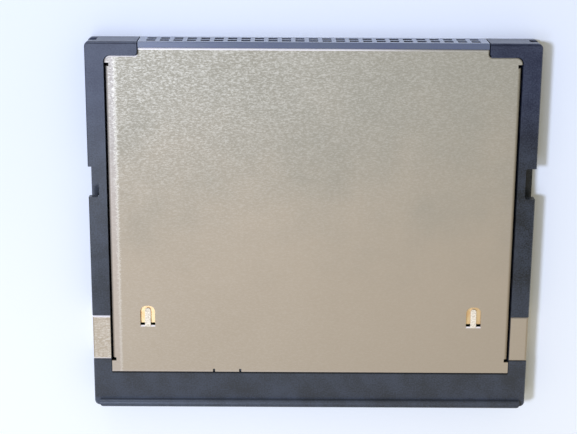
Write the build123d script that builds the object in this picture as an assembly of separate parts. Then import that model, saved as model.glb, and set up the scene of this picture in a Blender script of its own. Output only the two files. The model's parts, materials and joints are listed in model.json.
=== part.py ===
from build123d import *
import os

# Short-range radio card in the 50-contact, 42.8 by 36.4 mm card format.
# X runs across the card, +Y points to the socket end and +Z through the thickness.
# The card lies on its front cover, with the back cover up.
# The origin is on the supporting surface, under the middle of the card.

# Card envelope
card_width = 42.8
card_length = 36.4
card_thickness = 3.3
corner_radius = 0.5
moulded_edge_break = 0.1

# Frame walls
rail_width = 1.76
rear_bar_length = 3.55
corner_block_width = 4.9
corner_block_length = 1.3
block_corner_radius = 0.3
cover_ledge_length = 0.8
rear_wall = 1.1
antenna_clearance = 0.12

# Guide grooves: the left one is tall, the right one low, which keys the card
groove_length = 25.78
groove_depth = 1.01
tall_groove_height = 1.6
tall_groove_floor = 0.85
key_groove_height = 1.16
key_groove_floor = 0.99
groove_end_radius = 0.3

# Notch through the upper flange of each groove
notch_setback = 12.0
notch_length = 3.0
notch_radius = 0.2

# Raised finger lip along the rear edge
lip_length = 0.76
lip_height = 0.63
lip_side_inset = 0.57
lip_edge_radius = 0.34

# Shadow line across the top and bottom of each front corner block, just behind its broken edge
corner_line_width = 0.12
corner_line_depth = 0.2

# Sheet-metal covers
sheet = 0.2
bend_inner_radius = 0.1
flange_board_gap = 0.05
side_gap = 0.19
shoulder_gap = 0.06
end_gap = 0.05
relief_length = 0.34
rear_shoulder = 1.11
front_shoulder = 0.65
cover_front_setback = 0.6
cover_corner_radius = 0.6
socket_corner_radius = 0.15
sheared_edge_break = 0.1

# Ears of the front cover, folded round both rails
ear_length = 4.5
ear_rear_setback = 4.9
ear_fold_radius = 0.25
ear_clearance = 0.03
ear_edge_break = 0.1

# Shallow recess pressed into the front cover, clear of the socket and its board rests
panel_width = 33.0
panel_rear_margin = 2.2
panel_front_margin = 0.5
panel_depth = 0.1
panel_corner_radius = 1.5

# Locking tab at the rear edge of each cover
tab_offset = -8.22
tab_width = 2.38
tab_depth = 0.8
tab_notch_width = 0.22
tab_slot_clearance = 0.06

# U windows in the back cover, with a spring tongue in each
window_side_setback = 5.42
window_width = 1.45
window_length = 2.02
window_rear_setback = 8.42
window_corner_radius = 0.6
window_edge_break = 0.12
tongue_corner_radius = 0.25
window_slot = 0.45
tongue_drop = 0.12
tongue_flat = 0.35
tongue_tip_gap = 0.27

# Socket: as many contacts as fit between its end walls, 25 in each row
contact_pitch = 1.27
socket_end_wall = 0.7
row_pitch = 1.27
mouth_size = 0.86
throat_size = 0.56
funnel_depth = 0.4
cavity_size = 0.72
socket_depth = 6.6
socket_side_gap = 0.1
socket_lip_gap = 0.05
socket_lip_chamfer = 0.08
wing_length = 3.7
wing_flange_gap = 0.35
rest_width = 2.3
rest_overlap = 1.3
peg_radius = 0.45
peg_clearance = 0.05
peg_stand = 0.2

# Socket contacts
contact_stock = 0.2
contact_front_setback = 1.0
contact_base_length = 1.4
fork_gap = 0.42
fork_side_gap = 0.03
tail_width = 0.34
tail_run = 0.3
tail_rise = 0.35
tail_foot = 1.45

# Circuit board
board_thickness = 0.6
board_side_gap = 0.2
board_end_gap = 0.1
board_front_gap = 0.5
board_corner_cut = 0.5

# Ground clips on the board under the windows
clip_width = 1.9
clip_stock = 0.12
clip_bend_radius = 0.3
clip_front_reach = 0.55
clip_rear_gap = 0.2

# Insulating film inside the covers
film_thickness = 0.05
film_margin = 1.2
film_window_gap = 0.6

# Packages: width across X, length along Y and height off the board
radio_chip_size = (8.0, 8.0, 0.8)
interface_chip_size = (7.0, 7.0, 0.8)
firmware_memory_size = (8.0, 6.0, 0.7)
settings_memory_size = (3.0, 4.4, 0.7)
crystal_size = (5.0, 3.2, 0.75)
regulator_size = (1.6, 2.9, 0.8)
tantalum_size = (3.5, 2.8, 0.8)
antenna_size = (7.0, 2.0, 0.7)
filter_size = (2.0, 1.25, 0.7)
package_edge = 0.15
marker_cut = 0.4

# Places of the packages: the middle's distance from the named side and end of the board
radio_chip_from_rear_left = (14.4, 9.5)
reference_crystal_from_rear_left = (7.4, 11.8)
antenna_from_rear_right = (10.4, 1.6)
filter_from_rear_right = (11.6, 6.0)
interface_chip_from_front_right = (13.4, 8.6)
interface_crystal_from_front_right = (5.0, 8.6)
firmware_memory_from_front_right = (13.4, 8.6)
regulator_from_front_left = (4.5, 6.5)
tantalum_from_front_left = (9.0, 6.5)
settings_memory_from_front_left = (11.4, 8.0)

# Gull-wing leads
lead_stock = 0.12
lead_foot = 0.45
lead_reach = 1.0
lead_shoulder = 0.3
quad_lead_count = 12
quad_lead_pitch = 0.5
quad_lead_width = 0.22
dual_lead_count = 4
dual_lead_pitch = 0.65
dual_lead_width = 0.25
regulator_lead_count = 3
regulator_lead_pitch = 0.95
regulator_lead_width = 0.35
regulator_lead_reach = 0.6

# Chip passives: width across X, length along Y and height
capacitor_size = (0.5, 1.0, 0.5)
resistor_size = (0.5, 1.0, 0.35)
coil_size = (0.55, 1.0, 0.5)
passive_cap_length = 0.2
passive_cap_step = 0.03
passive_spacing = 1.4
resistor_tail_gap = 0.7
pull_up_count = 6
pull_ups_from_right = 24.4
series_count = 8
series_from_left = 7.4
coil_count = 2
coils_from_rear_right = (9.6, 6.0)
radio_capacitor_count = 5
radio_capacitors_from_rear_left = (12.0, 14.4)
supply_capacitor_count = 6
supply_capacitors_from_rear_left = (12.0, 7.0)

# Levels and edges that follow from the sizes above
half_width = card_width / 2
front = card_length / 2
rear = -front
mid_height = card_thickness / 2
opening_half = half_width - rail_width
opening_front = front - corner_block_length
bar_front = rear + rear_bar_length
opening_rear = bar_front + cover_ledge_length
mouth_half = half_width - corner_block_width
socket_half = mouth_half - socket_side_gap
board_top = mid_height + board_thickness / 2
board_bottom = mid_height - board_thickness / 2
board_half = opening_half - board_side_gap
pocket_rear = rear + rear_wall
pocket_ceiling = board_top + antenna_size[2] + passive_cap_step + antenna_clearance
board_rear = pocket_rear + board_end_gap
cover_underside = card_thickness - sheet
cover_rear = bar_front + end_gap
cover_front = front - cover_front_setback
flange_face = opening_half - side_gap
flange_depth = card_thickness - board_top - flange_board_gap
bend_outer_radius = bend_inner_radius + sheet
shoulder_half = opening_half - shoulder_gap
shoulder_front = opening_front - end_gap
flange_rear = cover_rear + rear_shoulder + relief_length
flange_front = shoulder_front - front_shoulder - relief_length
socket_back = front - socket_depth
board_front = socket_back - board_front_gap
contact_count = int((2 * (socket_half - socket_end_wall) - mouth_size) / contact_pitch) + 1
wing_half = flange_face - sheet - wing_flange_gap
wing_back = opening_front - wing_length
rest_back = board_front - rest_overlap
peg_place = (wing_half - rest_width / 2, board_front - rest_overlap / 2)
tail_end = socket_back - tail_run - tail_rise - tail_foot
ear_rear = rear + ear_rear_setback
ear_front = ear_rear + ear_length
window_middle = half_width - window_side_setback
window_rear = rear + window_rear_setback
window_front = window_rear + window_length
clip_top = cover_underside - tongue_drop
panel_rear = cover_rear + panel_rear_margin
panel_front = rest_back - panel_front_margin
fold_plane = Plane.XY.offset(mid_height)

# How far a cut runs past the surface it opens
overcut = 1.0


def block(x_range, y_range, z_range):
    """Plain block between two corners, for cuts and small bars."""
    centre = [(low + high) / 2 for low, high in (x_range, y_range, z_range)]
    spans = [high - low for low, high in (x_range, y_range, z_range)]
    return Pos(*centre) * Box(*spans)


def plan_area(x_range, y_range):
    """Rectangle in plan between two corners."""
    centre = [(low + high) / 2 for low, high in (x_range, y_range)]
    return Pos(*centre) * Rectangle(x_range[1] - x_range[0], y_range[1] - y_range[0])


def raise_plan(plan, z_low, z_high):
    """Extrude a plan drawing between two heights."""
    return extrude(Pos(0, 0, z_low) * plan, z_high - z_low, dir=(0, 0, 1))


def side_profile(points, x_low, x_high):
    """Extrude a closed outline of (y, z) points across X."""
    outline = make_face(Polyline(*[(x_low, y, z) for y, z in points], close=True))
    return extrude(outline, x_high - x_low, dir=(1, 0, 0))


def across_profile(section, y_low, y_high):
    """Extrude a section drawn in X and Z along the card."""
    placed = Plane(origin=(0, y_high, 0), x_dir=(1, 0, 0), z_dir=(0, -1, 0)) * section
    return extrude(placed, y_high - y_low, dir=(0, -1, 0))


def turned_over(shape):
    """The same shape on the other face of the card."""
    return mirror(shape, about=fold_plane)


def on_both_sides(shape):
    """The shape and its mirror image across the card's middle."""
    return [shape, mirror(shape, about=Plane.YZ)]


def corners_near(plan, x_place, y_place):
    """Plan corners at the given distance from the middle line and the given Y."""
    tolerance = 0.001
    return [v for v in plan.vertices()
            if abs(abs(v.X) - x_place) < tolerance and abs(v.Y - y_place) < tolerance]


def guide_groove(side, floor, height):
    """Groove in one side, open at the front, with its end rounded inside."""
    inner = half_width - groove_depth
    plan = plan_area((inner, half_width + overcut), (front - groove_length, front + overcut))
    plan = fillet(corners_near(plan, inner, front - groove_length), groove_end_radius)
    groove = raise_plan(plan, floor, floor + height)
    return groove if side > 0 else mirror(groove, about=Plane.YZ)


def flange_notch(side, groove_top):
    """Notch through the upper flange of one groove."""
    inner = half_width - groove_depth
    back = front - notch_setback - notch_length
    plan = plan_area((inner, half_width + overcut), (back, back + notch_length))
    inner_corners = corners_near(plan, inner, back) + corners_near(plan, inner, back + notch_length)
    plan = fillet(inner_corners, notch_radius)
    notch = raise_plan(plan, groove_top, card_thickness + overcut)
    return notch if side > 0 else mirror(notch, about=Plane.YZ)


def tab_slot():
    """Slot in the cover ledge that takes the back cover's locking tab."""
    across = tab_width / 2 + tab_slot_clearance
    along = sheet + bend_inner_radius + tab_slot_clearance
    return block(
        (tab_offset - across, tab_offset + across),
        (bar_front, cover_rear + along),
        (card_thickness - tab_depth - tab_slot_clearance, card_thickness),
    )


def make_frame():
    """Moulded frame: rails, corner blocks, rear bar with the antenna pocket, and lip."""
    body = raise_plan(RectangleRounded(card_width, card_length, corner_radius), 0, card_thickness)
    rims = body.faces().sort_by(Axis.Z)[0].edges() + body.faces().sort_by(Axis.Z)[-1].edges()
    body = chamfer(rims, moulded_edge_break)

    opening = plan_area((-opening_half, opening_half), (opening_rear, opening_front))
    opening += plan_area((-mouth_half, mouth_half), (opening_front, front + overcut))
    opening = fillet(corners_near(opening, mouth_half, opening_front), block_corner_radius)
    opening = fillet(corners_near(opening, opening_half, opening_front), cover_corner_radius)
    frame = body - raise_plan(opening, -overcut, card_thickness + overcut)

    rebate = block((-opening_half, opening_half), (bar_front, opening_rear + sheet),
                   (cover_underside, card_thickness + overcut))
    frame -= [rebate, turned_over(rebate)]
    frame -= [tab_slot(), turned_over(tab_slot())]

    pocket = block((-opening_half, opening_half), (pocket_rear, opening_rear + sheet),
                   (board_bottom, pocket_ceiling))
    frame -= pocket

    frame -= guide_groove(-1, tall_groove_floor, tall_groove_height)
    frame -= guide_groove(1, key_groove_floor, key_groove_height)
    frame -= flange_notch(-1, tall_groove_floor + tall_groove_height)
    frame -= flange_notch(1, key_groove_floor + key_groove_height)

    core_inset = 2 * (sheet + ear_clearance)
    core = RectangleRounded(card_width - core_inset, card_thickness - core_inset, moulded_edge_break)
    around = Rectangle(card_width + overcut, card_thickness + overcut)
    wrap = Pos(0, mid_height) * (around - core)
    frame -= across_profile(wrap, ear_rear - end_gap, ear_front + end_gap)

    line_front = front - moulded_edge_break
    line = block((-half_width - overcut, half_width + overcut),
                 (line_front - corner_line_width, line_front),
                 (card_thickness - corner_line_depth, card_thickness + overcut))
    frame -= [line, turned_over(line)]

    return frame + finger_lip()


def finger_lip():
    """Raised lip along the rear edge, round-topped and with its rear corners rounded in plan."""
    half = half_width - lip_side_inset
    section = fillet(Rectangle(lip_length, 2 * lip_height).vertices(), lip_edge_radius)
    side_view = Plane(origin=(-half, rear + lip_length / 2, card_thickness),
                      x_dir=(0, 1, 0), z_dir=(1, 0, 0))
    bar = extrude(side_view * section, 2 * half, dir=(1, 0, 0))
    plan = plan_area((-half, half), (rear, rear + lip_length))
    plan = fillet(corners_near(plan, half, rear), corner_radius)
    return bar & raise_plan(plan, card_thickness - sheet, card_thickness + 2 * lip_height)


def folded_flanges(y_low, y_high):
    """Channel of a cover whose two sides are folded down into the frame."""
    outer = Rectangle(2 * flange_face, 2 * flange_depth)
    outer = fillet(outer.vertices(), bend_outer_radius)
    inner = Rectangle(2 * (flange_face - sheet), 2 * (flange_depth - sheet))
    inner = fillet(inner.vertices(), bend_inner_radius)
    lower_half = Pos(0, -flange_depth) * Rectangle(4 * flange_face, 2 * flange_depth)
    section = Pos(0, card_thickness - flange_depth) * (outer - inner - lower_half)
    return across_profile(section, y_low, y_high)


def cover_sheet(flange_rear_end):
    """Back cover before its windows are cut, or the front cover turned over."""
    bend_start = flange_face - bend_outer_radius
    plan = plan_area((-bend_start, bend_start), (cover_rear, shoulder_front))
    plan += plan_area((-shoulder_half, shoulder_half), (cover_rear, cover_rear + rear_shoulder))
    plan += plan_area((-shoulder_half, shoulder_half), (shoulder_front - front_shoulder, shoulder_front))
    plan += plan_area((-socket_half, socket_half), (shoulder_front, cover_front))
    plan = fillet(corners_near(plan, shoulder_half, shoulder_front), cover_corner_radius)
    plan = fillet(corners_near(plan, socket_half, shoulder_front), block_corner_radius)
    plan = fillet(corners_near(plan, socket_half, cover_front), socket_corner_radius)
    for side in (-1, 1):
        edge = tab_offset + side * (tab_width + tab_notch_width) / 2
        plan -= plan_area((edge - tab_notch_width / 2, edge + tab_notch_width / 2),
                          (cover_rear, cover_rear + bend_outer_radius))
    flat = raise_plan(plan, cover_underside, card_thickness)
    top_edges = flat.faces().sort_by(Axis.Z)[-1].edges().filter_by(Axis.Y, reverse=True)
    front_edges = [e for e in top_edges if e.center().Y > shoulder_front - cover_corner_radius]
    flat = chamfer(front_edges, sheared_edge_break)
    return flat + folded_flanges(flange_rear_end, flange_front) + locking_tab()


def locking_tab():
    """Tab at the rear edge, folded down into the frame's slot."""
    half = tab_width / 2
    root = cover_rear + bend_outer_radius
    length = bend_outer_radius + sheet
    depth = tab_depth
    outer = Pos(length, -depth) * Rectangle(2 * length, 2 * depth)
    outer = fillet(outer.vertices(), bend_outer_radius)
    inner = Pos(length, -depth) * Rectangle(2 * (length - sheet), 2 * (depth - sheet))
    inner = fillet(inner.vertices(), bend_inner_radius)
    hook = (outer - inner) & (Pos(bend_outer_radius / 2, -depth / 2) * Rectangle(bend_outer_radius, depth))
    side_view = Plane(origin=(tab_offset - half, cover_rear, card_thickness),
                      x_dir=(0, 1, 0), z_dir=(1, 0, 0))
    tab = extrude(side_view * hook, tab_width, dir=(1, 0, 0))
    return tab + block((tab_offset - half, tab_offset + half), (root, root + sheet),
                       (cover_underside, card_thickness))


def arch_plan(width, length, radius):
    """Plan of a strip with its two front corners rounded, standing on its rear edge."""
    strip = plan_area((-width / 2, width / 2), (0, length))
    return fillet(corners_near(strip, width / 2, length), radius)


def spring_tongue():
    """Tongue left in a window, bent down until its flat tip sits on the ground clip."""
    length = window_length - tongue_tip_gap
    bend_end = length - tongue_flat
    low = -sheet - tongue_drop
    outline = [(-window_edge_break, 0), (-window_edge_break, -sheet), (0, -sheet), (bend_end, low),
               (length, low), (length, low + sheet), (bend_end, low + sheet)]
    width = window_width - 2 * window_slot
    strip = side_profile(outline, -width / 2, width / 2)
    plan = Pos(0, -window_edge_break) * arch_plan(width, length + window_edge_break, tongue_corner_radius)
    return strip & raise_plan(plan, low - overcut, overcut)


def make_back_cover():
    """Stamped back cover with its two windows and tongues."""
    cover = cover_sheet(flange_rear)
    for side in (-1, 1):
        place = Pos(side * window_middle, window_rear, 0)
        window = raise_plan(arch_plan(window_width, window_length, window_corner_radius),
                            cover_underside - overcut, card_thickness + overcut)
        slope = side_profile([(0, card_thickness), (0, card_thickness - window_edge_break),
                              (-window_edge_break, card_thickness)],
                             -window_width / 2, window_width / 2)
        cover -= [place * window, place * slope]
        cover += place * Pos(0, 0, card_thickness) * spring_tongue()
    return cover


def panel_plan(inset):
    """Square-cornered outline of the front cover's pressed panel, smaller all round by the inset."""
    half = panel_width / 2 - inset
    return plan_area((-half, half), (panel_rear + inset, panel_front - inset))


def make_front_cover():
    """Front cover: the same blank turned over, with ears folded round both rails."""
    cover = turned_over(cover_sheet(ear_front + relief_length))
    outer = RectangleRounded(card_width, card_thickness, ear_fold_radius)
    inner = RectangleRounded(card_width - 2 * sheet, card_thickness - 2 * sheet,
                             ear_fold_radius - sheet / 2)
    ear_end = opening_half + ear_clearance
    top_gap = Pos(0, card_thickness / 2) * Rectangle(2 * ear_end, card_thickness)
    strap = across_profile(Pos(0, mid_height) * (outer - inner - top_gap), ear_rear, ear_front)
    for edge, inward in ((ear_rear, 1), (ear_front, -1)):
        broken = [(edge, card_thickness), (edge + inward * ear_edge_break, card_thickness),
                  (edge, card_thickness - ear_edge_break)]
        strap -= side_profile(broken, -half_width, half_width)
    cover += strap

    outside = panel_plan(0)
    outside = fillet(outside.vertices(), panel_corner_radius)
    inside = panel_plan(panel_depth)
    inside = fillet(inside.vertices(), panel_corner_radius - panel_depth)
    cover += raise_plan(outside, sheet, sheet + panel_depth)
    return cover - raise_plan(inside, -overcut, panel_depth)


def contact_places():
    """X of each contact, centred on the card."""
    first = -(contact_count - 1) / 2 * contact_pitch
    return [first + index * contact_pitch for index in range(contact_count)]


def contact_cavity():
    """Square funnel, throat and cavity of the middle contact of the upper row."""
    flare = (mouth_size - throat_size) / 2
    funnel = Wedge(throat_size, funnel_depth, throat_size,
                   -flare, -flare, throat_size + flare, throat_size + flare,
                   align=(Align.CENTER, Align.MAX, Align.CENTER))
    cavity = Box(cavity_size, socket_depth, cavity_size, align=(Align.CENTER, Align.MAX, Align.CENTER))
    return Pos(0, front, mid_height + row_pitch / 2) * (funnel + Pos(0, -funnel_depth, 0) * cavity)


def make_socket_housing():
    """Moulded socket block with 50 cavities, wings behind the corner blocks and board rests."""
    plan = plan_area((-socket_half, socket_half), (socket_back, cover_front + socket_lip_gap))
    plan += plan_area((-wing_half, wing_half), (wing_back, opening_front))
    housing = raise_plan(plan, sheet, cover_underside)

    lip = block((-socket_half, socket_half), (cover_front + socket_lip_gap, front), (0, card_thickness))
    front_edges = lip.faces().sort_by(Axis.Y)[-1].edges().filter_by(Axis.X)
    housing += chamfer(front_edges, socket_lip_chamfer)

    rest = block((wing_half - rest_width, wing_half), (rest_back, wing_back + sheet),
                 (sheet, board_bottom))
    peg = Pos(*peg_place, 0) * raise_plan(Circle(peg_radius), sheet, board_top + peg_stand)
    housing = housing + on_both_sides(rest) + on_both_sides(peg)

    upper = [Pos(x, 0, 0) * contact_cavity() for x in contact_places()]
    lower = [turned_over(cavity) for cavity in upper]
    return housing - upper - lower


def make_contact():
    """Stamped fork contact of the upper row, with tapered tines and its tail on the board."""
    level = mid_height + row_pitch / 2
    fork_front = front - contact_front_setback
    fork_root = socket_back + contact_base_length
    base_half = cavity_size / 2
    tip_half = base_half - fork_side_gap
    plan = make_face(Polyline((-base_half, socket_back), (base_half, socket_back),
                              (base_half, fork_root), (tip_half, fork_front),
                              (-tip_half, fork_front), (-base_half, fork_root), close=True))
    plan -= plan_area((-fork_gap / 2, fork_gap / 2), (fork_root + fork_gap, fork_front + overcut))
    fork = raise_plan(plan, level - contact_stock / 2, level + contact_stock / 2)

    high = level - contact_stock / 2
    step_start = socket_back - tail_run
    step_end = step_start - tail_rise
    foot_end = step_end - tail_foot
    outline = [(socket_back + contact_stock, high), (step_start, high), (step_end, board_top),
               (foot_end, board_top), (foot_end, board_top + contact_stock),
               (step_end + contact_stock / 2, board_top + contact_stock),
               (step_start + contact_stock / 2, high + contact_stock),
               (socket_back + contact_stock, high + contact_stock)]
    return fork + side_profile(outline, -tail_width / 2, tail_width / 2)


def contact_row():
    """The 25 separate contacts of the upper row."""
    contact = make_contact()
    return [Pos(x, 0, 0) * contact for x in contact_places()]


def make_board():
    """Circuit board, from the socket tails back into the antenna pocket."""
    plan = plan_area((-board_half, board_half), (board_rear, board_front))
    plan = chamfer(plan.vertices(), board_corner_cut)
    hole = Pos(*peg_place) * Circle(peg_radius + peg_clearance)
    return raise_plan(plan - hole - mirror(hole, about=Plane.YZ), board_bottom, board_top)


def make_ground_clip():
    """Gold-plated strip folded into a C, open to the rear, under one window."""
    height = clip_top - board_top
    length = window_front + clip_front_reach - (window_rear + clip_rear_gap)
    bend = clip_bend_radius
    outer = fillet(Rectangle(2 * length, height).vertices(), bend)
    inner = fillet(Rectangle(2 * length - 2 * clip_stock, height - 2 * clip_stock).vertices(),
                   bend - clip_stock)
    strip = (outer - inner) & Pos(length / 2, 0) * Rectangle(length, height)
    side_view = Plane(origin=(-clip_width / 2, window_rear + clip_rear_gap, board_top + height / 2),
                      x_dir=(0, 1, 0), z_dir=(1, 0, 0))
    return extrude(side_view * strip, clip_width, dir=(1, 0, 0))


def rear_left(distances):
    """Point on the board at the given distances from its left and rear edges."""
    return (distances[0] - board_half, board_rear + distances[1])


def rear_right(distances):
    """Point on the board at the given distances from its right and rear edges."""
    return (board_half - distances[0], board_rear + distances[1])


def front_left(distances):
    """Point on the board at the given distances from its left and front edges."""
    return (distances[0] - board_half, board_front - distances[1])


def front_right(distances):
    """Point on the board at the given distances from its right and front edges."""
    return (board_half - distances[0], board_front - distances[1])


def package(size, place, marker=True):
    """Moulded package with broken upper edges and one cut corner that marks its first lead."""
    width, length, height = size
    plan = Rectangle(width, length)
    if marker:
        first_corner = plan.vertices().group_by(Axis.Y)[-1].sort_by(Axis.X)[0]
        plan = chamfer(first_corner, marker_cut)
    body = Pos(*place, board_top) * raise_plan(plan, 0, height)
    return chamfer(body.faces().sort_by(Axis.Z)[-1].edges(), package_edge)


def gull_lead(width, body_half, height, reach):
    """One lead leaving a package side along +Y and bending down to the board."""
    leave = height / 2
    foot_start = body_half + reach - lead_foot
    shoulder = body_half + lead_shoulder
    outline = [(body_half - lead_stock, leave), (shoulder, leave),
               (foot_start, 0), (body_half + reach, 0),
               (body_half + reach, lead_stock), (foot_start + lead_stock, lead_stock),
               (shoulder + lead_stock, leave + lead_stock),
               (body_half - lead_stock, leave + lead_stock)]
    return side_profile(outline, -width / 2, width / 2)


def lead_row(count, pitch, width, body_half, height, reach):
    """A row of leads along one side of a package."""
    lead = gull_lead(width, body_half, height, reach)
    first = -(count - 1) / 2 * pitch
    return [Pos(first + index * pitch, 0, 0) * lead for index in range(count)]


def make_interface_chip():
    """Host interface chip with leads on all four sides."""
    width, length, height = interface_chip_size
    middle = front_right(interface_chip_from_front_right)
    chip = package(interface_chip_size, middle)
    for turn in range(4):
        body_half = length / 2 if turn % 2 == 0 else width / 2
        row = lead_row(quad_lead_count, quad_lead_pitch, quad_lead_width, body_half, height, lead_reach)
        chip += [Pos(*middle, board_top) * Rot(0, 0, 90 * turn) * lead for lead in row]
    return chip


def two_sided_chip(size, place, count, pitch, width, reach):
    """Small chip with leads on its left and right sides."""
    chip = package(size, place)
    row = lead_row(count, pitch, width, size[0] / 2, size[2], reach)
    for turn in (90, 270):
        chip += [Pos(*place, board_top) * Rot(0, 0, turn) * lead for lead in row]
    return chip


def make_settings_memory():
    """Small memory with four leads a side, on the board's lower face."""
    place = front_left(settings_memory_from_front_left)
    chip = two_sided_chip(settings_memory_size, place, dual_lead_count, dual_lead_pitch,
                          dual_lead_width, lead_reach)
    return turned_over(chip)


def make_regulator():
    """Voltage regulator with three leads a side."""
    place = front_left(regulator_from_front_left)
    return two_sided_chip(regulator_size, place, regulator_lead_count, regulator_lead_pitch,
                          regulator_lead_width, regulator_lead_reach)


def crystal(place):
    """Crystal: ceramic base with a smaller metal lid."""
    width, length, height = crystal_size
    lid_inset = 2 * package_edge
    base = raise_plan(Rectangle(width, length), 0, height - package_edge)
    lid = chamfer(Rectangle(width - lid_inset, length - lid_inset).vertices(), package_edge)
    return Pos(*place, board_top) * (base + raise_plan(lid, 0, height))


def chip_passive(size, place):
    """Chip capacitor, resistor or coil: a body between two slightly larger end caps."""
    width, length, height = size
    body = raise_plan(Rectangle(width - 2 * passive_cap_step, length - passive_cap_length),
                      passive_cap_step, height - passive_cap_step)
    end = Pos(0, (length - passive_cap_length) / 2) * Rectangle(width, passive_cap_length)
    cap = raise_plan(end, 0, height)
    return Pos(*place, board_top) * (body + cap + mirror(cap, about=Plane.XZ))


def passive_row(size, first_place, count):
    """Separate passives side by side, the first at the given place."""
    return [chip_passive(size, (first_place[0] + index * passive_spacing, first_place[1]))
            for index in range(count)]


def resistor_row(first_x, count):
    """Row of resistors just behind the socket's tails."""
    behind_tails = tail_end - resistor_tail_gap - resistor_size[1] / 2
    return passive_row(resistor_size, (first_x, behind_tails), count)


def make_antenna():
    """Ceramic chip antenna in the pocket of the rear bar, clear of the covers."""
    width, length, height = antenna_size
    body = raise_plan(Rectangle(width, length), 0, height)
    end = Pos(width / 2 - passive_cap_length, 0) * Rectangle(2 * passive_cap_length, length)
    pad = raise_plan(end, 0, height + passive_cap_step)
    return Pos(*rear_right(antenna_from_rear_right), board_top) * (body + on_both_sides(pad))


def make_back_film():
    """Film inside the back cover, cut away round the windows."""
    half = flange_face - bend_outer_radius - film_margin
    plan = plan_area((-half, half), (opening_rear + film_margin, board_front - film_margin))
    for side in (-1, 1):
        across = clip_width / 2 + film_window_gap
        film_end = window_front + clip_front_reach + film_window_gap
        plan -= plan_area((side * window_middle - across, side * window_middle + across),
                          (window_rear - film_window_gap, film_end))
    return raise_plan(plan, cover_underside - film_thickness, cover_underside)


def make_front_film():
    """Film on the inner face of the front cover's pressed panel."""
    level = sheet + panel_depth
    return raise_plan(panel_plan(film_margin), level, level + film_thickness)


def save(name, shapes):
    """Write one node: a single solid, or a group of separate like solids."""
    group = shapes if isinstance(shapes, list) else [shapes]
    solids = [solid for shape in group for solid in shape.solids()]
    shape = solids[0] if len(solids) == 1 else Compound(children=solids)
    export_step(shape, os.path.join("parts", name + ".step"))
    print(name, len(solids), "solid", round(sum(solid.volume for solid in solids), 3), "mm3")


def save_shells():
    """Frame, covers and socket."""
    save("frame", make_frame())
    save("back_cover", make_back_cover())
    save("front_cover", make_front_cover())
    save("socket_housing", make_socket_housing())
    row = contact_row()
    save("upper_contacts", row)
    save("lower_contacts", [turned_over(contact) for contact in row])
    save("back_film", make_back_film())
    save("front_film", make_front_film())


def save_board():
    """Circuit board, ground clips and everything soldered to the board."""
    save("circuit_board", make_board())
    clip = make_ground_clip()
    save("ground_clip_left", Pos(-window_middle, 0, 0) * clip)
    save("ground_clip_right", Pos(window_middle, 0, 0) * clip)
    save("radio_chip", package(radio_chip_size, rear_left(radio_chip_from_rear_left)))
    save("interface_chip", make_interface_chip())
    firmware_place = front_right(firmware_memory_from_front_right)
    save("firmware_memory", turned_over(package(firmware_memory_size, firmware_place)))
    save("settings_memory", make_settings_memory())
    save("voltage_regulator", make_regulator())
    save("reference_crystal", crystal(rear_left(reference_crystal_from_rear_left)))
    save("interface_crystal", crystal(front_right(interface_crystal_from_front_right)))
    tantalum_place = front_left(tantalum_from_front_left)
    save("tantalum_capacitor", package(tantalum_size, tantalum_place, marker=False))
    save("chip_antenna", make_antenna())
    filter_place = rear_right(filter_from_rear_right)
    save("band_filter", package(filter_size, filter_place, marker=False))
    save("matching_coils", passive_row(coil_size, rear_right(coils_from_rear_right), coil_count))
    radio_row_place = rear_left(radio_capacitors_from_rear_left)
    save("radio_capacitors", passive_row(capacitor_size, radio_row_place, radio_capacitor_count))
    supply_row_place = rear_left(supply_capacitors_from_rear_left)
    supply_row = passive_row(capacitor_size, supply_row_place, supply_capacitor_count)
    save("supply_capacitors", [turned_over(capacitor) for capacitor in supply_row])
    save("pull_up_resistors", resistor_row(board_half - pull_ups_from_right, pull_up_count))
    series_row = resistor_row(series_from_left - board_half, series_count)
    save("series_resistors", [turned_over(resistor) for resistor in series_row])


os.makedirs("parts", exist_ok=True)
save_shells()
save_board()
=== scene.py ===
# %% [markdown]
# # A small radio card, lying on a white table
#
# The card is 42.8 mm wide and 36.4 mm long. It lies with its steel back cover up, and its socket is at
# the top of the picture. Its solids come from a packed CAD model, which is loaded as a fixed frame. Every
# shape that shows is in the CAD, so this lesson adds no piece. It gives the solids their finishes, then
# sets up a table, a camera and light. A card this small shows its grain, so every pattern is sized in
# millimetres.

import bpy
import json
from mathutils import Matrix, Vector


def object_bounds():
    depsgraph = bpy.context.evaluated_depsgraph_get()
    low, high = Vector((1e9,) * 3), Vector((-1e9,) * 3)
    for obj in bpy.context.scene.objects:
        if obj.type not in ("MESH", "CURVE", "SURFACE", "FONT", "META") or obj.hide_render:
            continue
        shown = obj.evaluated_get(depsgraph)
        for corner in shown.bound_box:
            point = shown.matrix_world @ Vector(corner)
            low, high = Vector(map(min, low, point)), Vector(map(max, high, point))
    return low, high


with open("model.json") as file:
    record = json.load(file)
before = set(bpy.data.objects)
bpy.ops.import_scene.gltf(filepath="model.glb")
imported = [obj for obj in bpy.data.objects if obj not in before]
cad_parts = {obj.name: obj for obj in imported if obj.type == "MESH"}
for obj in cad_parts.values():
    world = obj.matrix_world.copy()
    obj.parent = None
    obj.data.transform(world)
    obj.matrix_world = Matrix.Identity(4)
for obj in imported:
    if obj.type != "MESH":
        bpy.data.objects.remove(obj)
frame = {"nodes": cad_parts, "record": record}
cad_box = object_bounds()
size_mm = [round(1000 * (high - low), 2) for low, high in zip(*cad_box)]
print("nodes", len(frame["nodes"]), "size in mm", size_mm)

# %% [markdown]
# ## Shader maths as Python
#
# A finish is a small sum: so much grain, so much wear, more at one side than the other. In Blender each
# plus or times is a Math node, and wiring them by hand hides the sum. One class can hold a socket and let
# Python's own operators add the nodes, so the script reads like the sum. Its one other method adds any
# node at all.

# %% The wire class
import bpy


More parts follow.
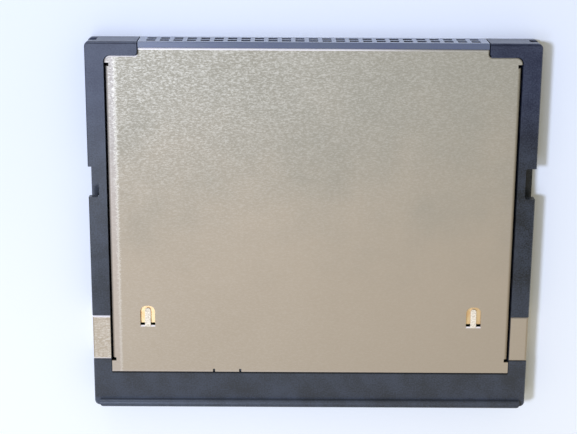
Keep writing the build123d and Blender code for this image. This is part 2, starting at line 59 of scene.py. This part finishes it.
class Wire:
    """One output socket of a material, or its empty start, that arithmetic works on."""

    def __init__(self, tree, socket=None):
        self.tree = tree
        self.socket = socket

    def node(self, kind, settings=None, sockets=None, output=0):
        """Add a node: first its settings, then its sockets' values or wires. Return one output, if any."""
        node = self.tree.nodes.new(kind)
        for name, value in (settings or {}).items():
            setattr(node, name, value)
        for name, value in (sockets or {}).items():
            if isinstance(value, Wire):
                self.tree.links.new(value.socket, node.inputs[name])
            else:
                node.inputs[name].default_value = value
        return Wire(self.tree, None if output is None else node.outputs[output])

    def __abs__(self):
        return self.node("ShaderNodeMath", {"operation": "ABSOLUTE"}, {0: self})

    def __add__(self, other):
        return self.node("ShaderNodeMath", {"operation": "ADD"}, {0: self, 1: other})

    def __sub__(self, other):
        return self.node("ShaderNodeMath", {"operation": "SUBTRACT"}, {0: self, 1: other})

    def __rsub__(self, other):
        return self.node("ShaderNodeMath", {"operation": "SUBTRACT"}, {0: other, 1: self})

    def __mul__(self, other):
        return self.node("ShaderNodeMath", {"operation": "MULTIPLY"}, {0: self, 1: other})

    __radd__ = __add__
    __rmul__ = __mul__


print("reflected operators", [name for name in vars(Wire) if name.startswith("__r")])

# %% [markdown]
# ## Places on the card in millimetres
#
# A texture needs to know where it is. Object coordinates stay with the card in every view, and these
# objects sit at the frame's origin, so they are the card's own X, Y and Z in metres. Multiplied by a
# thousand they are millimetres, and a noise scale of 4 then means four blots to the millimetre. Most marks
# belong to an edge of some piece. The edge's place could be typed in from the CAD, but when it is measured
# on the loaded piece, it follows the piece's size.

# %% Helpers for places, blots and ramps
MM = 0.001


def place_mm(start):
    """The card's own coordinates in millimetres."""
    metres = start.node("ShaderNodeTexCoord", output="Object")
    return start.node("ShaderNodeVectorMath", {"operation": "SCALE"}, {0: metres, "Scale": 1 / MM})


def axis_of(vector, name):
    """One coordinate of a place or a normal."""
    return vector.node("ShaderNodeSeparateXYZ", sockets={0: vector}, output=name)


def blots(place, per_mm, detail=2.0, stretch=(1.0, 1.0, 1.0), distortion=0.0):
    """Soft noise from 0 to 1, about a half on average."""
    scaled = place.node("ShaderNodeVectorMath", {"operation": "MULTIPLY"}, {0: place, 1: stretch})
    return place.node("ShaderNodeTexNoise", sockets={
        "Vector": scaled, "Scale": per_mm, "Detail": detail, "Distortion": distortion})


def ramp(value, low, high, to_low=0.0, to_high=1.0):
    """Smooth change from one level to another as a value goes from low to high."""
    return value.node("ShaderNodeMapRange", {"interpolation_type": "SMOOTHSTEP"}, {
        "Value": value, "From Min": low, "From Max": high, "To Min": to_low, "To Max": to_high})


def box_mm(name, above=-1.0):
    """Lowest and highest corner, in millimetres, of a piece's points that lie above a height."""
    vertices = frame["nodes"][name].data.vertices
    points = [[round(value / MM, 3) for value in vertex.co] for vertex in vertices]
    points = [point for point in points if point[2] > above]
    return [min(axis) for axis in zip(*points)], [max(axis) for axis in zip(*points)]


plate_low, plate_high = box_mm("back_cover")
print("back cover from", plate_low, "to", plate_high, "mm")

# %% [markdown]
# ## One way to make every finish
#
# Each finish ends in a Principled shader. What stays the same all over goes straight on its sockets, and
# only what changes over the surface is wired. A small function does both and keeps the finishes short.
# Colours are written as the screen shows them, from 0 to 255, and turned to the linear values that the
# renderer works in.

# %% Colours and the finish builder


def linear(red, green, blue):
    """Screen colour from 0 to 255 as a linear colour."""
    def one(level):
        share = level / 255
        return share / 12.92 if share <= 0.04045 else ((share + 0.055) / 1.055) ** 2.4
    return (one(red), one(green), one(blue), 1.0)


def blend(factor, first, second):
    """Colour between two colours or wires."""
    return factor.node("ShaderNodeMix", {"data_type": "RGBA"}, {0: factor, 6: first, 7: second}, output=2)


def bump(height, depth_mm, strength=1.0):
    """Normal from a height that varies from 0 to 1, so deep in millimetres."""
    return height.node("ShaderNodeBump", sockets={
        "Height": height, "Distance": depth_mm * MM, "Strength": strength})


def start_finish(name):
    """New empty material and the start of its wires."""
    material = bpy.data.materials.new(name)
    material.use_nodes = True
    material.node_tree.nodes.clear()
    return material, Wire(material.node_tree)


def end_finish(start, sockets):
    """Principled shader with these sockets, wired to the output."""
    shader = start.node("ShaderNodeBsdfPrincipled", sockets=sockets)
    start.node("ShaderNodeOutputMaterial", sockets={"Surface": shader}, output=None)


print("middle grey", [round(value, 3) for value in linear(128, 128, 128)[:3]])

# %% [markdown]
# ## Sheet steel of the covers
#
# The covers are thin stainless sheet with a matt blasted face. Close up it is a dense crust of tiny ridges
# that lie across the card, a quarter of a millimetre long and a tenth wide. Where they catch the light, at
# the socket end and on the left, the ridges are painted lighter: a painted highlight, which fades to an
# even, warmer tone at the rear. A picture of such steel would show its pixels this close, so stretched
# noise gives the ridges, and ramps along X and Y fade the painted highlight. Slow patches keep the change
# of tone from being a straight line. The ear that the front cover folds round the left rail gets the same
# painted highlight on its grain, because the light from the left catches it.

# %% Steel grain
RIDGES_PER_MM = 9.0
SPECKS_PER_MM = 12.0
PATCHES_PER_MM = 0.16
COOL_STEEL = linear(168, 162, 147)
WARM_STEEL = linear(188, 173, 152)

cover_steel, start = start_finish("cover_steel")
place = place_mm(start)
across = axis_of(place, "X")
along = axis_of(place, "Y")
up = axis_of(place, "Z")
ridges = blots(place, RIDGES_PER_MM, stretch=(0.4, 1.0, 1.0), distortion=0.6)
specks = blots(place, SPECKS_PER_MM, detail=1.0, stretch=(0.6, 1.0, 1.0))
patches = blots(place, PATCHES_PER_MM, detail=3.0) - 0.5
left_ear = ramp(across, plate_low[0] - 0.12, plate_low[0] - 0.02, 1.0, 0.0)
# painted highlight: the grain is painted lighter at the socket end, on the left and on the left ear
glint_light = ramp(along, -4.0, 20.0, 0.2, 1.2) * ramp(across, -16.0, 22.0, 1.1, 0.42) + left_ear * 0.9
glints = ramp(ridges + specks * 0.4, 0.56, 0.94) * glint_light
warmth = ramp(along + patches * 14, 16.0, -6.0)
ground = blend(warmth, COOL_STEEL, WARM_STEEL)
print("steel grain", len(cover_steel.node_tree.nodes), "nodes")

# %% [markdown]
# ## Painted highlights on the steel, and white tongues
#
# The left margin of the back cover looks bent a little, as if the card had been pulled out, and the bend
# catches the light from the left. Its paler tone, and the ragged bright crease it ends in, are a painted
# highlight. The two spring tongues, each over a gold clip, are painted almost white. None of these has a
# depth worth modelling, so they are painted where they lie. Noise added to the place makes the crease
# ragged, and only the upper half of the card is painted, because the same steel covers the hidden side.

# %% Bent margin, crease highlight and white tongues
CREASE_INSET = 0.92
CREASE_HALF = 0.2
TONGUE_HALF = 0.28
TONGUE_REAR = -9.86
TONGUE_FRONT = -8.02


def band(value, low, high, soft):
    """1 between two values and 0 outside them, with edges as soft as this."""
    return ramp(value, low - soft, low) * ramp(value, high, high + soft, 1.0, 0.0)


crease_x = plate_low[0] + CREASE_INSET
clip_low, clip_high = box_mm("ground_clip_right")
tongue_x = (clip_low[0] + clip_high[0]) / 2
back_face = ramp(up, plate_high[2] / 2 - 0.05, plate_high[2] / 2 + 0.05)
ragged = across + (specks - 0.5) * ramp(along, -14.0, 8.0, 0.4, 1.0)
# painted highlight: the bent left margin is painted paler and its crease bright
margin = ramp(ragged, crease_x - 0.15, crease_x + 0.15, 1.0, 0.0) * (1 - left_ear) * back_face
crease_highlight = band(ragged, crease_x, crease_x, CREASE_HALF) * ramp(along, -16.0, 12.0, 0.4, 1.0) * back_face
from_tongue = abs(abs(across) - tongue_x)
tongue = ramp(from_tongue, TONGUE_HALF, TONGUE_HALF + 0.04, 1.0, 0.0)
tongue = tongue * band(along, TONGUE_REAR, TONGUE_FRONT, 0.08) * back_face
print("crease at X", round(crease_x, 2), "tongues at X", round(tongue_x, 2), "to both sides")

# %% [markdown]
# ## Bright edges, a painted highlight
#
# Shearing leaves the sheet's edges bare. The ones that lie across the card gleam in the light, most of all
# on the left, and this gleam is a painted highlight: the edges and a thin line of steel beside the front
# ones are painted white, fading to the right. A faint pale band along the rear edge is painted the same
# way. The edges could be picked by hand, face by face. It is simpler to ask how far the surface leans,
# because a broken edge leans halfway between flat and upright.

# %% Edges and the steel shader
LINE_WIDTH = 0.16
WINDOW_HALF = 0.8
# the colours below paint the highlights on the margin, the glints and the edges, and the tongues' white
HIGHLIGHT_STEEL = linear(222, 212, 218)
GLINT = linear(243, 238, 226)
TONGUE_WHITE = linear(255, 243, 222)
EDGE_HIGHLIGHT = linear(250, 244, 247)

ears_low, ears_high = box_mm("front_cover", above=plate_high[2] - 0.5)
plate_front_line = plate_high[1] - LINE_WIDTH
ear_front_line = ears_high[1] - LINE_WIDTH
# painted highlight fades from the left, where the light comes from, to the right
left_light = ramp(across, -4.0, 14.0, 1.0, 0.15)
at_window = ramp(from_tongue, WINDOW_HALF, WINDOW_HALF + 0.2, 1.0, 0.0)
window_edge = at_window * ramp(along, TONGUE_REAR + 0.16, TONGUE_REAR + 0.26, 1.0, 0.0)
normal = start.node("ShaderNodeNewGeometry", output="True Normal")
lean = axis_of(normal, "Z")
# painted highlight on broken edges and on the lines beside the front edges and the ear
edge = ramp(lean, 0.9, 0.8) * ramp(lean, 0.3, 0.5) * ramp(abs(axis_of(normal, "Y")), 0.3, 0.6)
edge = edge * ramp(left_light + window_edge, 0.0, 1.0)
front_line = ramp(along, plate_front_line - 0.02, plate_front_line + 0.02) * left_light * back_face
rear_line = ramp(along, plate_low[1] + 0.25, plate_low[1] + 0.05) * left_light * back_face
ear_lines = ramp(along, ear_front_line - 0.02, ear_front_line + 0.02)
ear_lines = ear_lines + ramp(along, ears_low[1] + LINE_WIDTH, ears_low[1] + LINE_WIDTH - 0.04) * 0.5
lines = front_line + ear_lines * left_ear
shine = edge + lines - edge * lines
# painted highlight: the paler margin and a faint pale band along the rear edge
margin_highlight = margin * ramp(along, -17.0, 14.0, 0.1, 0.3) + rear_line * 0.12
pale = blend(margin_highlight, ground, HIGHLIGHT_STEEL)
bright = blend(glints * 0.3 + crease_highlight * 0.6, pale, GLINT)
# the tongues are painted almost white
whitened = blend(tongue * (0.7 + (specks - 0.5) * 2.2), bright, TONGUE_WHITE)
# painted highlight: where shine is, the steel is painted near white and made less metallic
end_finish(start, {
    "Base Color": blend(shine, whitened, EDGE_HIGHLIGHT),
    "Metallic": 0.7 - tongue * 0.5 - shine * 0.6,
    "Roughness": 0.66 + patches * 0.1 - glints * 0.1 - shine * 0.3,
    "Normal": bump(ridges + specks * 0.5, 0.01, 0.4),
})
print("cover steel", len(cover_steel.node_tree.nodes), "nodes, ears from", ears_low, "to", ears_high, "mm")

# %% [markdown]
# ## Moulded plastic of the frame and the socket
#
# The frame is a dark blue-grey engineering plastic with a fine moulded grain, and the socket is a lighter
# and bluer one. Both have a thin smooth skin over a rougher body. That skin is what makes the front walls
# look pale: they are seen almost edge-on, and any smooth surface seen that way mirrors the white table. A
# mix of a rough and a glossy shader could give this, but a coat over a rough base is one shader and does
# the same. One function makes both plastics. Where shade is painted, the coat is taken off as well, so
# nothing shines there.

# %% The recipe of both plastics
LIGHT_PLASTIC = linear(90, 100, 122)
# the dark colour that painted shade and painted shadow darken towards
SHADE_COLOUR = linear(8, 9, 12)


def moulded_plastic(name, paint, roughness, coat, grain_mm, mottle, shade_depth=1.0):
    """Plastic with a fine grain and a smooth skin. Its paint gives its colour, painted highlight and shade.
    """
    material, start = start_finish(name)
    place = place_mm(start)
    grain = blots(place, 7.0, detail=3.0)
    cloud = blots(place, 0.5)
    tone = ramp(grain * 0.6 + cloud * 0.4, 0.35, 0.65, 0.0, mottle)
    # the paint gives the colour, a painted highlight and painted shade; under painted shade the coat goes
    # too
    colour, painted_highlight, painted_shade = paint(place)
    end_finish(start, {
        "Base Color": blend(painted_shade * shade_depth, blend(tone + painted_highlight, colour, LIGHT_PLASTIC), SHADE_COLOUR),
        "Roughness": roughness + (grain - 0.5) * 0.2,
        "Normal": bump(grain, grain_mm, 0.6),
        "Specular IOR Level": 0.3,
        "Coat Weight": (1 - painted_shade) * coat,
        "Coat Roughness": 0.16,
    })
    return material


print("light plastic", [round(value, 3) for value in LIGHT_PLASTIC[:3]])

# %% [markdown]
# ## Paint of the frame and of the socket
#
# The frame is greyer at the rear and bluer at the front. Its raised finger lip is painted a little lighter
# along its front, more on the left, as a painted highlight, and a painted shadow lies in the seam behind
# the back cover. The socket is one colour, with painted shade down its holes. The dark could be left to the
# light, but the holes are wide at the face and catch a good deal of it, so everything behind the socket's
# face is painted darker, away from its top and its bottom.

# %% Both plastics
FRAME_REAR = linear(46, 49, 55)
FRAME_MIDDLE = linear(6, 12, 18)
FRAME_FRONT = linear(10, 22, 54)
SOCKET_COLOUR = linear(84, 93, 124)
LIP_HEIGHT = 3.35
SEAM_NEAR = 0.03
SEAM_FAR = 0.15
HOLE_MARGIN = 0.3

lip_front = box_mm("frame", above=LIP_HEIGHT)[1][1]
socket_low, socket_high = box_mm("socket_housing")


def frame_paint(place):
    """Three tones from rear to front, a painted highlight on the lip, painted shadow in the cover's seam.
    """
    across = axis_of(place, "X")
    along = axis_of(place, "Y")
    rear_half = blend(ramp(along, -15.0, 0.0), FRAME_REAR, FRAME_MIDDLE)
    colour = blend(ramp(along, 4.0, 15.0), rear_half, FRAME_FRONT)
    # painted highlight along the lip's front, stronger on the left
    lip_highlight = ramp(along, lip_front + 0.14, lip_front - 0.06) * ramp(across, 16.0, -20.0)
    seam_start = plate_low[1] - SEAM_NEAR
    seam_end = plate_low[1] - SEAM_FAR
    # painted shadow in the seam behind the back cover
    seam_shadow = ramp(along, seam_end - 0.06, seam_end) * ramp(along, seam_start + 0.08, seam_start)
    seam_shadow = seam_shadow * ramp(abs(across), plate_high[0] + 0.02, plate_high[0] - 0.03)
    return colour, lip_highlight * 0.3, seam_shadow


def socket_paint(place):
    """One colour, with no painted highlight, and painted shade behind the face where the holes are."""
    # painted shade behind the socket's face, where the holes are
    behind_face = ramp(axis_of(place, "Y"), socket_high[1], socket_high[1] - 0.08)
    holes_low = socket_low[2] + HOLE_MARGIN
    holes_high = socket_high[2] - HOLE_MARGIN
    hole_shade = behind_face * band(axis_of(place, "Z"), holes_low, holes_high, 0.1)
    return SOCKET_COLOUR, 0.0, hole_shade * 0.9


frame_plastic = moulded_plastic("frame_plastic", frame_paint, 0.5, 0.5, 0.01, 0.28, shade_depth=0.8)
socket_plastic = moulded_plastic("socket_plastic", socket_paint, 0.4, 0.9, 0.004, 0.9)
print("lip's front edge at Y", lip_front, "and socket's face at Y", socket_high[1])

# %% [markdown]
# ## Plated metals
#
# The ground clips under the windows and the socket's contacts are gold over a copper alloy, and the
# crystals' lids are plated steel. Thin plating shows faint rolling lines and a few dull spots. A picture
# of brushed metal is the usual way, but it would have to be laid on each small piece. Noise needs no
# laying on: stretched along one axis it gives the lines, and slow it gives the spots. The three differ in
# colour and in how they were rolled.

# %% Gold and plated steel


def plated_metal(name, bright, dull, roughness, stretch):
    """Metal plating with rolling lines along one axis and dull spots."""
    material, start = start_finish(name)
    place = place_mm(start)
    lines = blots(place, 6.0, stretch=stretch)
    spots = blots(place, 1.6)
    end_finish(start, {
        "Base Color": blend(ramp(spots, 0.45, 0.75), bright, dull),
        "Metallic": 1.0,
        "Roughness": roughness + (lines - 0.5) * 0.2,
        "Normal": bump(lines, 0.003, 0.4),
    })
    return material


clip_gold = plated_metal(
    "clip_gold", linear(255, 223, 172), linear(250, 204, 148), 0.4, (1.0, 0.15, 1.0))
contact_gold = plated_metal(
    "contact_gold", linear(235, 200, 130), linear(200, 160, 95), 0.3, (1.0, 0.1, 1.0))
crystal_metal = plated_metal(
    "crystal_metal", linear(205, 205, 208), linear(176, 176, 182), 0.32, (0.1, 1.0, 1.0))
print("plated", clip_gold.name, contact_gold.name, crystal_metal.name)

# %% [markdown]
# ## The board
#
# The board is shut inside the covers, but a finish is cheap and the card may be taken apart. It has a
# glossy green mask over a faint weave of glass cloth, with copper tracks under the mask. Real tracks
# would be a drawing of their own. The joints of a brick pattern, narrow and slightly raised, look near
# enough.

# %% Board laminate
TRACK_LENGTH = 3.1
TRACK_PITCH = 0.55
TRACK_WIDTH = 0.06

board_laminate, start = start_finish("board_laminate")
place = place_mm(start)
weave = blots(place, 2.5, stretch=(1.0, 0.2, 1.0)) * 0.5 + blots(place, 2.5, stretch=(0.2, 1.0, 1.0)) * 0.5
tracks = start.node("ShaderNodeTexBrick", {"offset": 0.37}, {
    "Vector": place, "Scale": 1.0, "Mortar Size": TRACK_WIDTH, "Brick Width": TRACK_LENGTH,
    "Row Height": TRACK_PITCH}, output="Fac")
masked = blend(weave, linear(14, 72, 42), linear(22, 92, 54))
end_finish(start, {
    "Base Color": blend(tracks * 0.7, masked, linear(60, 128, 62)),
    "Roughness": 0.25 + weave * 0.15,
    "Normal": bump(tracks + weave * 0.3, 0.02, 0.4),
})
print("board", len(board_laminate.node_tree.nodes), "nodes")

# %% [markdown]
# ## What is soldered to the board, and the film
#
# The chips are matt black moulding full of fine filler, the small parts are fired ceramic or resin, and a
# thin plastic film keeps the covers off the board. Each could have a recipe of its own, but all are one
# plain colour with a fine grain, so one recipe makes them. A dictionary then holds every finish under the
# name that the packed record uses for it.

# %% Grainy materials and the list of finishes


def grainy(name, dark, light, per_mm, roughness, depth_mm=0.004):
    """Matt grainy material between two colours."""
    material, start = start_finish(name)
    place = place_mm(start)
    grain = blots(place, per_mm, detail=4.0)
    end_finish(start, {
        "Base Color": blend(ramp(grain, 0.35, 0.65), dark, light),
        "Roughness": roughness + (grain - 0.5) * 0.2,
        "Normal": bump(grain, depth_mm, 0.5),
    })
    return material


finishes = {
    "cover_steel": cover_steel,
    "frame_plastic": frame_plastic,
    "socket_plastic": socket_plastic,
    "clip_gold": clip_gold,
    "contact_gold": contact_gold,
    "crystal_metal": crystal_metal,
    "board_laminate": board_laminate,
    "chip_moulding": grainy("chip_moulding", linear(24, 24, 26), linear(36, 36, 38), 12.0, 0.6),
    "tantalum_resin": grainy("tantalum_resin", linear(205, 140, 40), linear(224, 164, 62), 5.0, 0.5),
    "antenna_ceramic": grainy("antenna_ceramic", linear(214, 214, 206), linear(236, 236, 230), 9.0, 0.55),
    "capacitor_ceramic": grainy("capacitor_ceramic", linear(130, 96, 70), linear(160, 122, 92), 9.0, 0.5),
    "resistor_ceramic": grainy("resistor_ceramic", linear(34, 34, 40), linear(52, 52, 60), 9.0, 0.35),
    "insulating_film": grainy("insulating_film", linear(26, 26, 30), linear(40, 40, 46), 1.2, 0.25, 0.01),
}
print("finishes", len(finishes))

# %% [markdown]
# ## Putting the finishes on
#
# The packed record names a material slot for every node, so the node's finish can be looked up there and
# no list of nodes is needed. The slots of a node's mesh are replaced, and its shape isn't touched.

# %% Assign each node its finish
for part in frame["record"]["subparts"]:
    node = frame["nodes"][part["node"]]
    node.data.materials.clear()
    node.data.materials.append(finishes[part["material_slot"]])

# %% [markdown]
# ## The table
#
# The card lies on a plain sheet. A studio sheet curves up behind the object, but this camera looks down and
# never sees so far, so a flat plane is enough. Its colour drifts very slightly, from a breath of blue
# beyond the socket to white at the rear of the card, and this drift is painted light: the sheet is painted
# a little darker and bluer where less light falls. It is part of the stage, not of the card.

# %% Floor
FLOOR_HALF = 0.6
BLUE_FROM = 30.0
WHITE_FROM = -40.0

floor_finish, start = start_finish("floor_paper")
place = place_mm(start)
# painted light: the sheet is painted darker and bluer beyond the socket, white towards the rear
drift = ramp(axis_of(place, "Y") + (blots(place, 0.02) - 0.5) * 20, BLUE_FROM, WHITE_FROM)
end_finish(start, {
    "Base Color": blend(drift, linear(236, 241, 253), linear(252, 253, 254)),
    "Roughness": 0.8,
    "Specular IOR Level": 0.2,
})
floor_mesh = bpy.data.meshes.new("floor")
floor_mesh.from_pydata([(-FLOOR_HALF, -FLOOR_HALF, 0), (FLOOR_HALF, -FLOOR_HALF, 0),
                        (FLOOR_HALF, FLOOR_HALF, 0), (-FLOOR_HALF, FLOOR_HALF, 0)], [], [(0, 1, 2, 3)])
floor_mesh.materials.append(floor_finish)
floor = bpy.data.objects.new("floor", floor_mesh)
bpy.context.scene.collection.objects.link(floor)
print("floor", 2 * FLOOR_HALF, "m square")

# %% [markdown]
# ## The camera
#
# The photograph was taken from 14 cm above the table, a little beyond the socket end, looking back over
# the card at fifteen degrees from straight down. So near, the socket end looks longer than the rear, and
# only a camera at the same distance gives that. It could be moved about until the outlines agree. Here
# its place and turns were fitted to the card's corners and notches, whose real places are known.

# %% Camera
import math

CAMERA_PLACE_MM = (-2.842, 38.156, 135.918)
CAMERA_TURNS = (-15.514, -0.249, 0.321)
LENS_MM = 89.303
SENSOR_MM = 36.0

camera_data = bpy.data.cameras.new("camera")
camera_data.sensor_width = SENSOR_MM
camera_data.lens = LENS_MM
camera_data.clip_start = 0.01
camera = bpy.data.objects.new("camera", camera_data)
camera.location = [value * MM for value in CAMERA_PLACE_MM]
camera.rotation_mode = "ZYX"
camera.rotation_euler = [math.radians(angle) for angle in CAMERA_TURNS]
bpy.context.scene.collection.objects.link(camera)
bpy.context.scene.camera = camera
print("camera height", round(camera.location.z, 3), "m")

# %% [markdown]
# ## The light
#
# In the photograph the light comes from the left, and a bright room fills in the rest. A picture of a
# room could give both, but its windows would show in the plastic's skin, and one lamp alone would leave
# the shadow black. So there are three lamps and an even sky. The small lamp on the left throws the narrow
# shadow along the right side. A softer one stands where the front of the left rail mirrors it, which
# gives the pale sheen there. A low one beyond the socket end lights the edges that face it. The sky is
# warm and the lamps are cool, so the white table stays neutral and the shadow turns a little khaki.
# Together they light white paper to just under white, so a colour looks about as it is written.

# %% Lamps and sky
from mathutils import Vector

SKY_LEVEL = 0.47
SKY_COLOUR = (1.0, 0.94, 0.72, 1.0)
LAMP_BLUE = (0.66, 0.755, 1.0)
PALE_BLUE = (0.8, 0.88, 1.0)
LAMPS = {
    "left_lamp": {"place": (-0.14, 0.05, 0.33), "size": 0.04, "power": 0.86, "colour": LAMP_BLUE},
    "soft_lamp": {"place": (-0.09, -0.05, 0.34), "size": 0.12, "power": 0.2, "colour": LAMP_BLUE},
    "low_lamp": {"place": (-0.14, 0.5, 0.09), "size": 0.18, "power": 0.35, "colour": PALE_BLUE},
}
for name, values in LAMPS.items():
    lamp_data = bpy.data.lights.new(name, "AREA")
    lamp_data.energy = values["power"]
    lamp_data.size = values["size"]
    lamp_data.color = values["colour"]
    lamp = bpy.data.objects.new(name, lamp_data)
    lamp.location = values["place"]
    lamp.rotation_euler = Vector(values["place"]).to_track_quat("Z", "Y").to_euler()
    bpy.context.scene.collection.objects.link(lamp)

world = bpy.data.worlds.new("studio")
world.use_nodes = True
sky = world.node_tree.nodes["Background"]
sky.inputs["Color"].default_value = SKY_COLOUR
sky.inputs["Strength"].default_value = SKY_LEVEL
bpy.context.scene.world = world
bpy.context.scene.view_settings.view_transform = "Standard"
print("lamps", len(LAMPS), "sky level", SKY_LEVEL)

# %% [markdown] ## The end The finishes must not change the card's size.

# %% The end
import json
